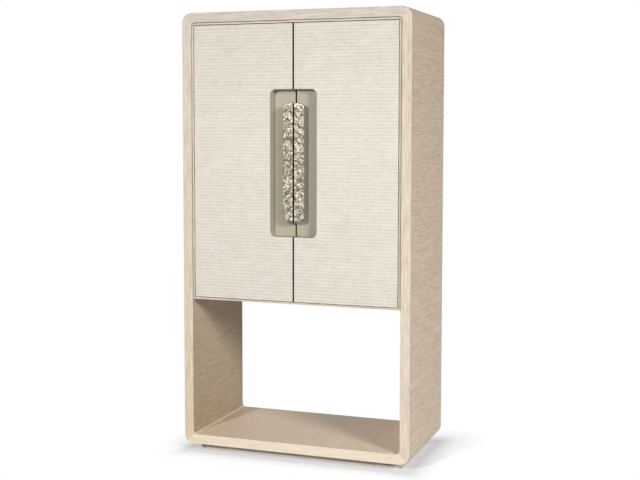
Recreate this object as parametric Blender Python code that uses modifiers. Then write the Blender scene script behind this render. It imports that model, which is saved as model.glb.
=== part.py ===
"""Bar cabinet: a rounded wrap-around shell with a cupboard above and an open bay below.

Metres, +Z up. The front faces -Y, the floor is z = 0, and the cabinet stands on the Z axis.
"""
import math

import bmesh
import bpy
from mathutils import Vector

# Fits: a running or assembly gap, the glue line between boards, and a cutter's overshoot
FIT = 0.0003
GLUE_LINE = 0.0002
MARGIN = 0.004

# Facets: points in a curve of the outlines, and sides of a round piece
CURVE_STEPS = 6
FILLET_STEPS = 4
ARCH_STEPS = 12
ROUND_SIDES = 20
SMALL_SIDES = 12
SMOOTH_ANGLE = math.radians(32)
ROUNDED_ANGLE = math.radians(40)

# Outer shell
WIDTH = 1.067
DEPTH = 0.558
SHELL_HEIGHT = 1.956
WALL = 0.044
OUTER_RADIUS = 0.044
INNER_RADIUS = 0.018
EDGE_ROUNDING = 0.0012

# Plinth and glides
PLINTH_HEIGHT = 0.032
PLINTH_THICKNESS = 0.022
PLINTH_FRONT_INSET = 0.070
PLINTH_BACK_INSET = 0.040
PLINTH_SIDE_INSET = 0.050
GLIDE_RADIUS = 0.009
GLIDE_HEIGHT = 0.004
GLIDE_EDGE = 0.001

# Cupboard box
BAY_HEIGHT = 0.626
BOX_BOARD = 0.020
BACK_PANEL = 0.012
BACK_RECESS = 0.003

# Doors and the beads round them
DOOR_SETBACK = 0.002
DOOR_THICKNESS = 0.042
SKIN_THICKNESS = 0.0012
SHADOW_LINE = 0.0025
BEAD_WIDTH = 0.008
DOOR_GAP = 0.003
MEETING_GAP = 0.0074
STOP_GAP = 0.0006

# Recess pan and handle
PAN_WIDTH = 0.216
PAN_HEIGHT = 0.646
PAN_BACKING = 0.003
PAN_RADIUS = 0.025
PAN_FILLET = 0.003
PAN_METAL = 0.0015
HANDLE_WIDTH = 0.1005
HANDLE_HEIGHT = 0.528
HANDLE_ARCH = 0.019
HANDLE_THICKNESS = 0.018
HANDLE_ROUNDING = 0.0025
POST_RADIUS = 0.007
POST_SPACING = 0.360

# Knife hinges
HINGE_FROM_EDGE = 0.010
HINGE_FROM_FACE = 0.0065
LEAF_LENGTH = 0.060
LEAF_WIDTH = 0.014
LEAF_THICKNESS = 0.003
LEAF_FROM_EDGE = 0.003
LEAF_FROM_FACE = 0.0025
PIN_RADIUS = 0.002
PIN_LENGTH = 0.005
BOSS_RADIUS = 0.0035

# Catches
CATCH_WIDTH = 0.045
CATCH_DEPTH = 0.020
CATCH_HEIGHT = 0.014
CATCH_FROM_CENTRE = 0.030
STRIKE_THICKNESS = 0.0012

# Inside
LOWER_ROOM = 0.450
SHELF_BOARD = 0.022
INSIDE_SETBACK = 0.008
PARTITION = 0.018
MIRROR_GLASS = 0.004
MIRROR_MARGIN = 0.002
GLASS = 0.008
GLASS_DROP = 0.331
GLASS_FRONT_SETBACK = 0.085
TIMBER = 0.018
TIMBER_RISE = 0.230
TIMBER_FRONT_SETBACK = 0.025
SHELF_BACK_GAP = 0.010
SHELF_END_GAP = 0.001
PEG_RADIUS = 0.0025
PEG_COLLAR_RADIUS = 0.0045
PEG_COLLAR_LENGTH = 0.009
PEG_LENGTH = 0.008
PEG_HOLE_EXTRA = 0.001
PEG_FROM_FRONT = 0.045
PEG_FROM_BACK = 0.045
PEG_ROW_PITCH = 0.064
RAIL_COUNT = 4
RAIL_PITCH = 0.100
RAIL_FLANGE = 0.070
RAIL_FLANGE_THICKNESS = 0.008
RAIL_WEB = 0.012
RAIL_HEIGHT = 0.032
RAIL_FROM_FRONT = 0.040
RAIL_FROM_BACK = 0.070
DIVIDER_BOARD = 0.012
DIVIDER_FRONT_SETBACK = 0.012

# Places worked out from the sizes above
FRONT = -DEPTH / 2
BACK = DEPTH / 2
SHELL_BASE = PLINTH_HEIGHT + GLIDE_HEIGHT
SHELL_MIDDLE = SHELL_BASE + SHELL_HEIGHT / 2
INNER_SIDE = WIDTH / 2 - WALL
INNER_TOP = SHELL_BASE + SHELL_HEIGHT - WALL
BOX_BASE = SHELL_BASE + WALL + BAY_HEIGHT
INNER_CORNER = min(INNER_RADIUS, BOX_BOARD - 2 * GLUE_LINE)
DOOR_FACE = FRONT + DOOR_SETBACK
DOOR_BACK = DOOR_FACE + DOOR_THICKNESS
CORE_FACE = DOOR_FACE + SKIN_THICKNESS
HINGE_Y = DOOR_FACE + HINGE_FROM_FACE
CORNER_SWING = math.hypot(HINGE_FROM_EDGE, DOOR_BACK - HINGE_Y)
BOX_FRONT = HINGE_Y + CORNER_SWING + STOP_GAP
PANEL_BACK = BACK - BACK_RECESS
PANEL_FACE = PANEL_BACK - BACK_PANEL
ROOM_SIDE = INNER_SIDE - BOX_BOARD
ROOM_FLOOR = BOX_BASE + BOX_BOARD
ROOM_TOP = INNER_TOP - BOX_BOARD
ROOM_FRONT = BOX_FRONT + INSIDE_SETBACK
BEAD_SIDE = INNER_SIDE - SHADOW_LINE
BEAD_TOP = INNER_TOP - SHADOW_LINE
DOOR_SIDE = BEAD_SIDE - BEAD_WIDTH - DOOR_GAP
DOOR_TOP = BEAD_TOP - BEAD_WIDTH - DOOR_GAP
DOOR_BASE = BOX_BASE + BEAD_WIDTH + DOOR_GAP
DOOR_INNER = MEETING_GAP / 2
DOOR_MIDDLE = (DOOR_TOP + DOOR_BASE) / 2
POCKET_FLOOR = DOOR_BACK - PAN_BACKING
PAN_FLOOR = POCKET_FLOOR - GLUE_LINE - PAN_METAL
HINGE_X = DOOR_SIDE - HINGE_FROM_EDGE
SHELF_BASE = ROOM_FLOOR + LOWER_ROOM
SHELF_TOP = SHELF_BASE + SHELF_BOARD

SIDES = (("left", -1), ("right", 1))


def clear_scene():
    """Remove every object that is already in the scene."""
    for item in list(bpy.data.objects):
        bpy.data.objects.remove(item, do_unlink=True)


def new_collection(name):
    """Make a collection under the scene's own."""
    collection = bpy.data.collections.new(name)
    bpy.context.scene.collection.children.link(collection)
    return collection


def finish(name, color, roughness, metallic=0.0):
    """Make a Principled material from one colour."""
    made = bpy.data.materials.new(name)
    made.use_nodes = True
    shader = made.node_tree.nodes["Principled BSDF"]
    shader.inputs["Base Color"].default_value = (*color, 1.0)
    shader.inputs["Roughness"].default_value = roughness
    shader.inputs["Metallic"].default_value = metallic
    return made


clear_scene()
PARTS = new_collection("bar_cabinet")
CUTTERS = new_collection("cutters")

OAK = finish("cerused_oak", (0.62, 0.52, 0.41), 0.55)
OAK_INSIDE = finish("plain_oak", (0.56, 0.46, 0.35), 0.6)
DARK_WOOD = finish("plinth_oak", (0.36, 0.29, 0.22), 0.6)
RAFFIA = finish("woven_raffia", (0.79, 0.76, 0.69), 0.75)
LACQUER = finish("door_lacquer", (0.74, 0.70, 0.62), 0.5)
PAN_FINISH = finish("taupe_metal", (0.46, 0.42, 0.35), 0.38, 0.8)
PEWTER = finish("hammered_pewter", (0.66, 0.64, 0.59), 0.3, 1.0)
BRASS = finish("satin_brass", (0.62, 0.50, 0.28), 0.35, 1.0)
STEEL = finish("bright_steel", (0.68, 0.68, 0.68), 0.3, 1.0)
NYLON = finish("black_nylon", (0.03, 0.03, 0.03), 0.5)
MIRROR = finish("mirror", (0.85, 0.87, 0.87), 0.03, 1.0)
CLEAR_GLASS = finish("clear_glass", (0.80, 0.88, 0.86), 0.05)


def put(name, mesh, place, made_of, carrier=None, collection=PARTS):
    """Add an object at a place in the world, carried by an empty if one is given."""
    made = bpy.data.objects.new(name, mesh)
    collection.objects.link(made)
    mesh.materials.append(made_of)
    made.location = Vector(place)
    if carrier:
        made.parent = carrier
        made.location = Vector(place) - carrier.location
    return made


def smooth(mesh):
    """Smooth shade a mesh between its sharp edges."""
    for face in mesh.polygons:
        face.use_smooth = True
    mesh.set_sharp_from_angle(angle=SMOOTH_ANGLE)


def box(name, low, high, made_of, carrier=None, collection=PARTS):
    """A block between two corners."""
    shape = bmesh.new()
    bmesh.ops.create_cube(shape, size=1.0)
    bmesh.ops.scale(shape, vec=Vector(high) - Vector(low), verts=shape.verts)
    mesh = bpy.data.meshes.new(name)
    shape.to_mesh(mesh)
    shape.free()
    middle = (Vector(low) + Vector(high)) / 2
    return put(name, mesh, middle, made_of, carrier, collection)


def board(name, low, high, made_of, carrier=None):
    """A block cut half a glue line short all round, so that it never presses into its neighbours."""
    line = Vector((GLUE_LINE, GLUE_LINE, GLUE_LINE)) / 2
    return box(name, Vector(low) + line, Vector(high) - line, made_of, carrier)


def rod(name, radius, start, end, made_of, carrier=None, collection=PARTS, sides=ROUND_SIDES):
    """A round bar from one point to another."""
    run = Vector(end) - Vector(start)
    shape = bmesh.new()
    bmesh.ops.create_cone(
        shape, cap_ends=True, segments=sides, radius1=radius, radius2=radius, depth=run.length)
    bmesh.ops.rotate(shape, matrix=run.to_track_quat("Z", "Y").to_matrix(), verts=shape.verts)
    mesh = bpy.data.meshes.new(name)
    shape.to_mesh(mesh)
    shape.free()
    smooth(mesh)
    middle = (Vector(start) + Vector(end)) / 2
    return put(name, mesh, middle, made_of, carrier, collection)


def turned(name, profile, place, direction, made_of, carrier=None, collection=PARTS, steps=ROUND_SIDES):
    """A turned piece: a profile of (radius, height) pairs, from axis to axis, with a Screw."""
    mesh = bpy.data.meshes.new(name)
    points = [(radius, 0.0, height) for radius, height in profile]
    mesh.from_pydata(points, [(n, n + 1) for n in range(len(points) - 1)], [])
    made = put(name, mesh, place, made_of, carrier, collection)
    made.rotation_mode = "QUATERNION"
    made.rotation_quaternion = Vector(direction).to_track_quat("Z", "Y")
    screw = made.modifiers.new("turn", "SCREW")
    screw.steps = steps
    screw.render_steps = steps
    screw.use_merge_vertices = True
    screw.merge_threshold = 0.00001
    screw.use_normal_flip = True
    return made


def plate(name, outline, front, back, made_of, carrier=None, collection=PARTS):
    """A flat outline of (x, z) points, as thick as the space from front to back in Y."""
    curve = bpy.data.curves.new(name, "CURVE")
    curve.dimensions = "2D"
    curve.fill_mode = "BOTH"
    curve.extrude = (back - front) / 2
    spline = curve.splines.new("POLY")
    spline.points.add(len(outline) - 1)
    for point, (x, z) in zip(spline.points, outline):
        point.co = (x, z, 0.0, 1.0)
    spline.use_cyclic_u = True
    drawn = bpy.data.objects.new(name + "_outline", curve)
    CUTTERS.objects.link(drawn)
    drawn.location = (0.0, (front + back) / 2, 0.0)
    drawn.rotation_euler = (math.radians(90), 0.0, 0.0)
    bpy.context.view_layer.update()
    mesh = bpy.data.meshes.new_from_object(
        drawn.evaluated_get(bpy.context.evaluated_depsgraph_get()))
    mesh.name = name
    place = drawn.matrix_world.copy()
    bpy.data.objects.remove(drawn)
    shape = bmesh.new()
    shape.from_mesh(mesh)
    bmesh.ops.remove_doubles(shape, verts=shape.verts, dist=0.00001)
    bmesh.ops.dissolve_limit(shape, angle_limit=0.001, verts=shape.verts, edges=shape.edges)
    bmesh.ops.recalc_face_normals(shape, faces=shape.faces)
    shape.to_mesh(mesh)
    shape.free()
    smooth(mesh)
    made = put(name, mesh, place.translation, made_of, carrier, collection)
    made.rotation_euler = place.to_euler()
    return made


def cut(target, cutter):
    """Take a cutter away from a piece."""
    hide(cutter)
    taken = target.modifiers.new("cut_" + cutter.name, "BOOLEAN")
    taken.operation = "DIFFERENCE"
    taken.solver = "EXACT"
    taken.object = cutter


def join(target, added):
    """Make a helper solid part of a piece."""
    hide(added)
    union = target.modifiers.new("join_" + added.name, "BOOLEAN")
    union.operation = "UNION"
    union.solver = "EXACT"
    union.object = added


def hide(helper):
    """Keep a helper solid out of renders."""
    helper.hide_render = True
    helper.display_type = "WIRE"


def round_edges(piece, width, chosen, segments=2):
    """Round the edges of a piece for which chosen(first, second) is true."""
    mesh = piece.data
    weights = mesh.attributes.new("bevel_weight_edge", "FLOAT", "EDGE")
    for edge in mesh.edges:
        first, second = (mesh.vertices[n].co for n in edge.vertices)
        weights.data[edge.index].value = 1.0 if chosen(first, second) else 0.0
    rounding = piece.modifiers.new("rounding", "BEVEL")
    rounding.limit_method = "WEIGHT"
    rounding.width = width
    rounding.segments = segments


def arc(centre_x, centre_z, radius, start, end, steps):
    """Points round part of a circle, with both angles in radians."""
    angles = [start + (end - start) * n / steps for n in range(steps + 1)]
    return [(centre_x + radius * math.cos(a), centre_z + radius * math.sin(a)) for a in angles]


def half_rounded(inner, outer, height, radius):
    """Half of a rounded rectangle: square at the inner edge, round at the two outer corners."""
    low = arc(outer - radius, radius - height / 2, radius, -math.pi / 2, 0.0, CURVE_STEPS)
    high = arc(outer - radius, height / 2 - radius, radius, 0.0, math.pi / 2, CURVE_STEPS)
    return [(inner, -height / 2), *low, *high, (inner, height / 2)]


def half_arched(inner, outer, height, rise):
    """Half of a tall bar whose two ends are flat arches: half ellipses as wide as the whole bar."""
    last = math.acos(inner / outer)
    turns = [last * n / ARCH_STEPS for n in range(ARCH_STEPS + 1)]
    high = [(outer * math.cos(t), height / 2 - rise + rise * math.sin(t)) for t in turns]
    return [(x, -z) for x, z in reversed(high)] + high


def block_outline(low, high, radii):
    """A rectangle with a radius of its own, or none, at each corner, from low left round by low right."""
    corners = ((low[0], low[1], 1, 1), (high[0], low[1], -1, 1), (high[0], high[1], -1, -1),
               (low[0], high[1], 1, -1))
    outline = []
    for quarter, ((x, z, right, up), radius) in enumerate(zip(corners, radii)):
        start = math.pi + quarter * math.pi / 2
        if radius:
            outline += arc(x + right * radius, z + up * radius, radius, start, start + math.pi / 2,
                           FILLET_STEPS)
        else:
            outline.append((x, z))
    return outline


def moved(outline, side=1, rise=0.0):
    """An outline mirrored to one side and lifted."""
    return [(side * x, z + rise) for x, z in outline]


# Shell: four mitred members

def member_outline(outward, along):
    """One mitred member as (out, along) points, from its middle to a mitre at either end."""
    outer_turn = math.pi / 4 - math.asin(FIT / 2 / OUTER_RADIUS)
    inner_turn = math.pi / 4 - math.asin(FIT / 2 / INNER_CORNER)
    outer = arc(outward - OUTER_RADIUS, along - OUTER_RADIUS, OUTER_RADIUS, 0.0, outer_turn, CURVE_STEPS)
    inset = WALL + INNER_CORNER
    inner = arc(outward - inset, along - inset, INNER_CORNER, inner_turn, 0.0, FILLET_STEPS)
    half = outer + inner
    return half + [(out, -length) for out, length in reversed(half)]


def is_long_edge(first, second):
    """True for the edges of a member's front and back outline that aren't on a mitre."""
    run = second - first
    in_plane = abs(run.z) < 0.00001
    on_mitre = abs(abs(run.x) - abs(run.y)) < 0.0001 and run.length > WALL / 2
    return in_plane and not on_mitre


def build_shell():
    upright = member_outline(WIDTH / 2, SHELL_HEIGHT / 2)
    level = member_outline(SHELL_HEIGHT / 2, WIDTH / 2)
    members = []
    for side, sign in SIDES:
        outline = [(sign * out, SHELL_MIDDLE + length) for out, length in upright]
        members.append(plate(f"shell_{side}_side", outline, FRONT, BACK, OAK))
    for end, sign in (("top", 1), ("bottom", -1)):
        outline = [(length, SHELL_MIDDLE + sign * out) for out, length in level]
        members.append(plate(f"shell_{end}", outline, FRONT, BACK, OAK))
    for piece in members:
        round_edges(piece, EDGE_ROUNDING, is_long_edge)


# Plinth: four rails on four glides

def build_plinth():
    side = WIDTH / 2 - PLINTH_SIDE_INSET
    front = FRONT + PLINTH_FRONT_INSET
    back = BACK - PLINTH_BACK_INSET
    low = GLIDE_HEIGHT
    board("plinth_front_rail", (-side, front, low), (side, front + PLINTH_THICKNESS, SHELL_BASE), DARK_WOOD)
    board("plinth_back_rail", (-side, back - PLINTH_THICKNESS, low), (side, back, SHELL_BASE), DARK_WOOD)
    for name, sign in SIDES:
        ends = sorted((sign * side, sign * (side - PLINTH_THICKNESS)))
        board(f"plinth_{name}_rail", (ends[0], front + PLINTH_THICKNESS, low),
              (ends[1], back - PLINTH_THICKNESS, SHELL_BASE), DARK_WOOD)
        for end, y in (("front", front + PLINTH_THICKNESS / 2), ("back", back - PLINTH_THICKNESS / 2)):
            x = sign * (side - PLINTH_THICKNESS / 2)
            profile = [(0.0, 0.0), (GLIDE_RADIUS - GLIDE_EDGE, 0.0), (GLIDE_RADIUS, GLIDE_EDGE),
                       (GLIDE_RADIUS, GLIDE_HEIGHT), (0.0, GLIDE_HEIGHT)]
            turned(f"floor_glide_{end}_{name}", profile, (x, y, 0.0), (0, 0, 1), NYLON)


# Cupboard box inside the shell

def build_box():
    pieces = {}
    for name, sign in SIDES:
        outline = block_outline((ROOM_SIDE + GLUE_LINE, BOX_BASE),
                                (INNER_SIDE - GLUE_LINE, INNER_TOP - GLUE_LINE), (0, 0, INNER_CORNER, 0))
        pieces[name] = plate(f"carcass_{name}_side", moved(outline, sign), BOX_FRONT, BACK, OAK_INSIDE)
    board("carcass_top", (-ROOM_SIDE, BOX_FRONT, ROOM_TOP), (ROOM_SIDE, PANEL_BACK, INNER_TOP), OAK_INSIDE)
    board("cupboard_floor", (-ROOM_SIDE, BOX_FRONT, BOX_BASE), (ROOM_SIDE, BACK, ROOM_FLOOR), OAK_INSIDE)
    board("carcass_back", (-ROOM_SIDE, PANEL_FACE, ROOM_FLOOR), (ROOM_SIDE, PANEL_BACK, ROOM_TOP), OAK_INSIDE)
    board("bar_shelf", (-ROOM_SIDE, ROOM_FRONT, SHELF_BASE), (ROOM_SIDE, PANEL_FACE, SHELF_TOP), OAK_INSIDE)
    pieces["partition"] = board("lower_partition", (-PARTITION / 2, ROOM_FRONT, ROOM_FLOOR),
                                (PARTITION / 2, PANEL_FACE, SHELF_BASE), OAK_INSIDE)
    return pieces


# Beads: thin strips that frame the two doors

def build_beads():
    corner = min(max(INNER_CORNER - SHADOW_LINE, FIT), 3 * BEAD_WIDTH)
    inner_side = BEAD_SIDE - BEAD_WIDTH
    joint = BEAD_TOP - BEAD_WIDTH

    def turn_at(height):
        """How far round the top corner a height is: nothing for one below the corner."""
        return math.asin(max(1.0 - (BEAD_TOP - height) / corner, 0.0))

    def corner_arc(start, end):
        return arc(BEAD_SIDE - corner, BEAD_TOP - corner, corner, start, end, FILLET_STEPS)

    top_end = corner_arc(turn_at(joint), math.pi / 2)
    if turn_at(joint) == 0.0:
        top_end.insert(0, (BEAD_SIDE, joint))
    top_outline = top_end + [(-x, z) for x, z in reversed(top_end)]
    bottom_outline = block_outline((-BEAD_SIDE, BOX_BASE), (BEAD_SIDE, BOX_BASE + BEAD_WIDTH), (0, 0, 0, 0))
    pieces = {}
    for name, outline in (("top_bead", top_outline), ("bottom_bead", bottom_outline)):
        pieces[name] = plate(name, outline, DOOR_FACE, BOX_FRONT - GLUE_LINE, OAK)

    low = BOX_BASE + BEAD_WIDTH + GLUE_LINE
    high = joint - GLUE_LINE
    outer_end = corner_arc(0.0, turn_at(high)) if turn_at(high) > 0.0 else [(BEAD_SIDE, high)]
    side_outline = [(inner_side, high), (inner_side, low), (BEAD_SIDE, low), *outer_end]
    for name, sign in SIDES:
        plate(f"{name}_bead", moved(side_outline, sign), DOOR_FACE, BOX_FRONT - GLUE_LINE, OAK)
    return pieces


# Doors: a core, a raffia skin, half of the pan and half of the handle

def door_axis(name, sign):
    """An empty on the hinge axis, which carries the door."""
    axis = bpy.data.objects.new(f"{name}_door_axis", None)
    PARTS.objects.link(axis)
    axis.location = (sign * HINGE_X, HINGE_Y, DOOR_BASE)
    return axis


def build_core(name, sign, axis):
    ends = sorted((sign * DOOR_INNER, sign * DOOR_SIDE))
    core = board(f"{name}_door_core", (ends[0], CORE_FACE, DOOR_BASE), (ends[1], DOOR_BACK, DOOR_TOP),
                 LACQUER, axis)
    edge = PAN_METAL + FIT
    outline = half_rounded(DOOR_INNER - MARGIN, PAN_WIDTH / 2 + edge, PAN_HEIGHT + 2 * edge,
                           PAN_RADIUS + edge)
    cut(core, plate(f"{name}_pan_pocket", moved(outline, sign, DOOR_MIDDLE), DOOR_FACE - MARGIN,
                    POCKET_FLOOR, LACQUER, axis, CUTTERS))
    return core


def build_skin(name, sign, axis):
    """The raffia on the door's front, cut out round the pan."""
    edge = PAN_METAL + FIT
    notch = half_rounded(DOOR_INNER, PAN_WIDTH / 2 + edge, PAN_HEIGHT + 2 * edge, PAN_RADIUS + edge)
    outline = [(DOOR_SIDE, DOOR_BASE), (DOOR_INNER, DOOR_BASE), *moved(notch, 1, DOOR_MIDDLE),
               (DOOR_INNER, DOOR_TOP), (DOOR_SIDE, DOOR_TOP)]
    plate(f"{name}_raffia_skin", moved(outline, sign), DOOR_FACE, CORE_FACE, RAFFIA, axis)


def is_back_edge(first, second):
    """True for the edges in the back plane of a plate, where its own Z is lowest."""
    return first.z < 0.0 and second.z < 0.0


def build_pan(name, sign, axis):
    """Half of the sunk metal pan, open at the meeting edge, with a fillet round its floor."""
    outline = half_rounded(DOOR_INNER, PAN_WIDTH / 2 + PAN_METAL, PAN_HEIGHT + 2 * PAN_METAL,
                           PAN_RADIUS + PAN_METAL)
    pan = plate(f"{name}_recess_pan", moved(outline, sign, DOOR_MIDDLE), DOOR_FACE,
                PAN_FLOOR + PAN_METAL, PAN_FINISH, axis)
    hollow = half_rounded(DOOR_INNER - PAN_RADIUS, PAN_WIDTH / 2, PAN_HEIGHT, PAN_RADIUS)
    cutter = plate(f"{name}_pan_hollow", moved(hollow, sign, DOOR_MIDDLE), DOOR_FACE - MARGIN,
                   PAN_FLOOR, PAN_FINISH, axis, CUTTERS)
    round_edges(cutter, PAN_FILLET, is_back_edge, FILLET_STEPS)
    cut(pan, cutter)


def build_handle(name, sign, axis):
    """Half of the handle: a flat bar that stands off the pan's floor on two posts."""
    outline = half_arched(DOOR_INNER, HANDLE_WIDTH / 2, HANDLE_HEIGHT, HANDLE_ARCH)
    handle = plate(f"{name}_handle", moved(outline, sign, DOOR_MIDDLE), DOOR_FACE,
                   DOOR_FACE + HANDLE_THICKNESS, PEWTER, axis)
    rounding = handle.modifiers.new("rounding", "BEVEL")
    rounding.limit_method = "ANGLE"
    rounding.angle_limit = ROUNDED_ANGLE
    rounding.width = HANDLE_ROUNDING
    rounding.segments = 3
    x = sign * (DOOR_INNER + HANDLE_WIDTH / 2) / 2
    for place, rise in (("upper", POST_SPACING / 2), ("lower", -POST_SPACING / 2)):
        z = DOOR_MIDDLE + rise
        join(handle, rod(f"{name}_handle_{place}_post", POST_RADIUS, (x, DOOR_FACE + HANDLE_THICKNESS / 2, z),
                         (x, PAN_FLOOR - GLUE_LINE, z), PEWTER, axis, CUTTERS))


# Knife hinges: a frame leaf with a boss and a pin, and a door leaf with a hole

def leaf_ends(sign):
    """The two corners in X and Y that every hinge leaf shares."""
    outer = DOOR_SIDE - LEAF_FROM_EDGE
    ends = sorted((sign * outer, sign * (outer - LEAF_LENGTH)))
    front = DOOR_FACE + LEAF_FROM_FACE
    return (ends[0], front), (ends[1], front + LEAF_WIDTH)


def leaf_plate(name, sign, base, away, carrier=None):
    """A leaf that starts at a height and goes up or down by its thickness."""
    low, high = leaf_ends(sign)
    heights = sorted((base, base + away * LEAF_THICKNESS))
    return box(name, (*low, heights[0]), (*high, heights[1]), BRASS, carrier)


def leaf_mortise(name, sign, base, away, carrier=None):
    """The cutter for a leaf's mortise, which is larger than the leaf by a fit."""
    low, high = leaf_ends(sign)
    heights = sorted((base - away * MARGIN, base + away * (LEAF_THICKNESS + FIT)))
    return box(name, (low[0] - FIT, low[1] - FIT, heights[0]),
               (high[0] + FIT, high[1] + FIT, heights[1]), OAK, carrier, CUTTERS)


def build_hinge(name, sign, place, away, core, bead, axis):
    """One hinge: away is +1 where the frame lies above the door, and -1 where it lies below."""
    door_end = DOOR_TOP if away > 0 else DOOR_BASE
    frame_end = door_end + away * DOOR_GAP
    centre = (sign * HINGE_X, HINGE_Y)

    door_leaf = leaf_plate(f"{name}_{place}_hinge_door_leaf", sign, door_end, -away, axis)
    hole = PIN_RADIUS + FIT
    cut(door_leaf, rod(f"{name}_{place}_leaf_hole", hole, (*centre, door_end + away * MARGIN),
                       (*centre, door_end - away * (LEAF_THICKNESS + MARGIN)), BRASS, axis, CUTTERS))
    cut(core, leaf_mortise(f"{name}_{place}_door_mortise", sign, door_end, -away, axis))
    cut(core, rod(f"{name}_{place}_door_pin_hole", hole, (*centre, door_end + away * MARGIN),
                  (*centre, door_end - away * (PIN_LENGTH + MARGIN)), LACQUER, axis, CUTTERS))

    frame_leaf = leaf_plate(f"{name}_{place}_hinge_frame_leaf", sign, frame_end, away)
    reach = DOOR_GAP - FIT
    sunk = LEAF_THICKNESS / 2
    tip = sunk + DOOR_GAP + PIN_LENGTH
    profile = [(0.0, 0.0), (PIN_RADIUS, 0.0), (PIN_RADIUS, sunk), (BOSS_RADIUS, sunk),
               (BOSS_RADIUS, sunk + reach), (PIN_RADIUS, sunk + reach), (PIN_RADIUS, tip), (0.0, tip)]
    join(frame_leaf, turned(f"{name}_{place}_boss_and_pin", profile, (*centre, frame_end + away * sunk),
                            (0, 0, -away), BRASS, None, CUTTERS))
    cut(bead, leaf_mortise(f"{name}_{place}_bead_mortise", sign, frame_end, away))


# Magnetic catches under the box top, and their plates on the door backs

def build_catch(name, sign, axis):
    ends = sorted((sign * CATCH_FROM_CENTRE, sign * (CATCH_FROM_CENTRE + CATCH_WIDTH)))
    top = ROOM_TOP
    low = top - CATCH_HEIGHT
    strike_back = DOOR_BACK + STRIKE_THICKNESS
    front = strike_back + FIT
    board(f"{name}_catch", (ends[0], front, low), (ends[1], front + CATCH_DEPTH, top), NYLON)
    board(f"{name}_strike_plate", (ends[0], DOOR_BACK, low), (ends[1], strike_back, top - FIT), STEEL, axis)


# Stemware rails under the box top

def rail_outline(x):
    """A T upside down: a web that hangs from the box top, and a flange for the glasses' feet."""
    low = ROOM_TOP - RAIL_HEIGHT
    ledge = low + RAIL_FLANGE_THICKNESS
    half = [(RAIL_FLANGE / 2, low), (RAIL_FLANGE / 2, ledge), (RAIL_WEB / 2, ledge), (RAIL_WEB / 2, ROOM_TOP)]
    return [(x + out, z) for out, z in half] + [(x - out, z) for out, z in reversed(half)]


def build_rails():
    for n in range(RAIL_COUNT):
        x = RAIL_PITCH * (n - (RAIL_COUNT - 1) / 2)
        plate(f"stemware_rail_{n + 1}", rail_outline(x), ROOM_FRONT + RAIL_FROM_FRONT,
              PANEL_FACE - RAIL_FROM_BACK, OAK_INSIDE)


# Shelves that lift out, on turned pegs in rows of holes

def build_peg_shelf(name, low, high, uprights, made_of):
    """A shelf between two upright boards, its four pegs and the holes in both boards."""
    board(name, low, high, made_of)
    for (side, sign), upright in zip(SIDES, uprights):
        wall = low[0] - SHELF_END_GAP if sign < 0 else high[0] + SHELF_END_GAP
        for end, y in (("front", low[1] + PEG_FROM_FRONT), ("back", high[1] - PEG_FROM_BACK)):
            z = low[2] - PEG_COLLAR_RADIUS - FIT
            peg = [(0.0, -PEG_LENGTH), (PEG_RADIUS, -PEG_LENGTH), (PEG_RADIUS, 0.0),
                   (PEG_COLLAR_RADIUS, 0.0), (PEG_COLLAR_RADIUS, PEG_COLLAR_LENGTH), (0.0, PEG_COLLAR_LENGTH)]
            turned(f"{name}_peg_{end}_{side}", peg, (wall, y, z), (-sign, 0, 0), BRASS, steps=SMALL_SIDES)
            for row in (-1, 0, 1):
                rise = z + row * PEG_ROW_PITCH
                reach = PEG_LENGTH + PEG_HOLE_EXTRA
                cut(upright, rod(f"{name}_hole_{end}_{side}_{row + 1}", PEG_RADIUS + FIT,
                                 (wall - sign * MARGIN, y, rise), (wall + sign * reach, y, rise),
                                 OAK_INSIDE, None, CUTTERS, SMALL_SIDES))


# Wine divider: two boards halved over each other

def divider_outline(width, height):
    """A board along the rising diagonal of a rectangle, with its ends fitted into the corners."""
    span = math.hypot(width, height)
    foot = DIVIDER_BOARD * span / (2 * height)
    rise = DIVIDER_BOARD * span / (2 * width)
    half = [(-width / 2, -height / 2), (foot - width / 2, -height / 2), (width / 2, height / 2 - rise)]
    return half + [(-x, -z) for x, z in half]


def build_divider():
    left = -ROOM_SIDE + FIT
    right = -PARTITION / 2 - FIT
    low = ROOM_FLOOR + FIT
    high = SHELF_BASE - FIT
    width = right - left
    height = high - low
    centre = ((left + right) / 2, (low + high) / 2)
    front = ROOM_FRONT + DIVIDER_FRONT_SETBACK
    back = PANEL_FACE - FIT
    middle = (front + back) / 2
    slope = math.atan2(height, width)
    halves = (("rising", 1, (front - MARGIN, middle + FIT / 2)),
              ("falling", -1, (middle - FIT / 2, back + MARGIN)))
    for name, sign, taken in halves:
        outline = [(centre[0] + sign * x, centre[1] + z) for x, z in divider_outline(width, height)]
        diagonal = plate(f"wine_divider_{name}", outline, front, back, OAK_INSIDE)
        half_slot = DIVIDER_BOARD / 2 + FIT
        slot = box(f"wine_divider_{name}_slot", (-DIVIDER_BOARD * 2, taken[0], -half_slot),
                   (DIVIDER_BOARD * 2, taken[1], half_slot), OAK_INSIDE, None, CUTTERS)
        slot.location = (centre[0], (taken[0] + taken[1]) / 2, centre[1])
        slot.rotation_euler = (0.0, sign * slope, 0.0)
        cut(diagonal, slot)


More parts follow.
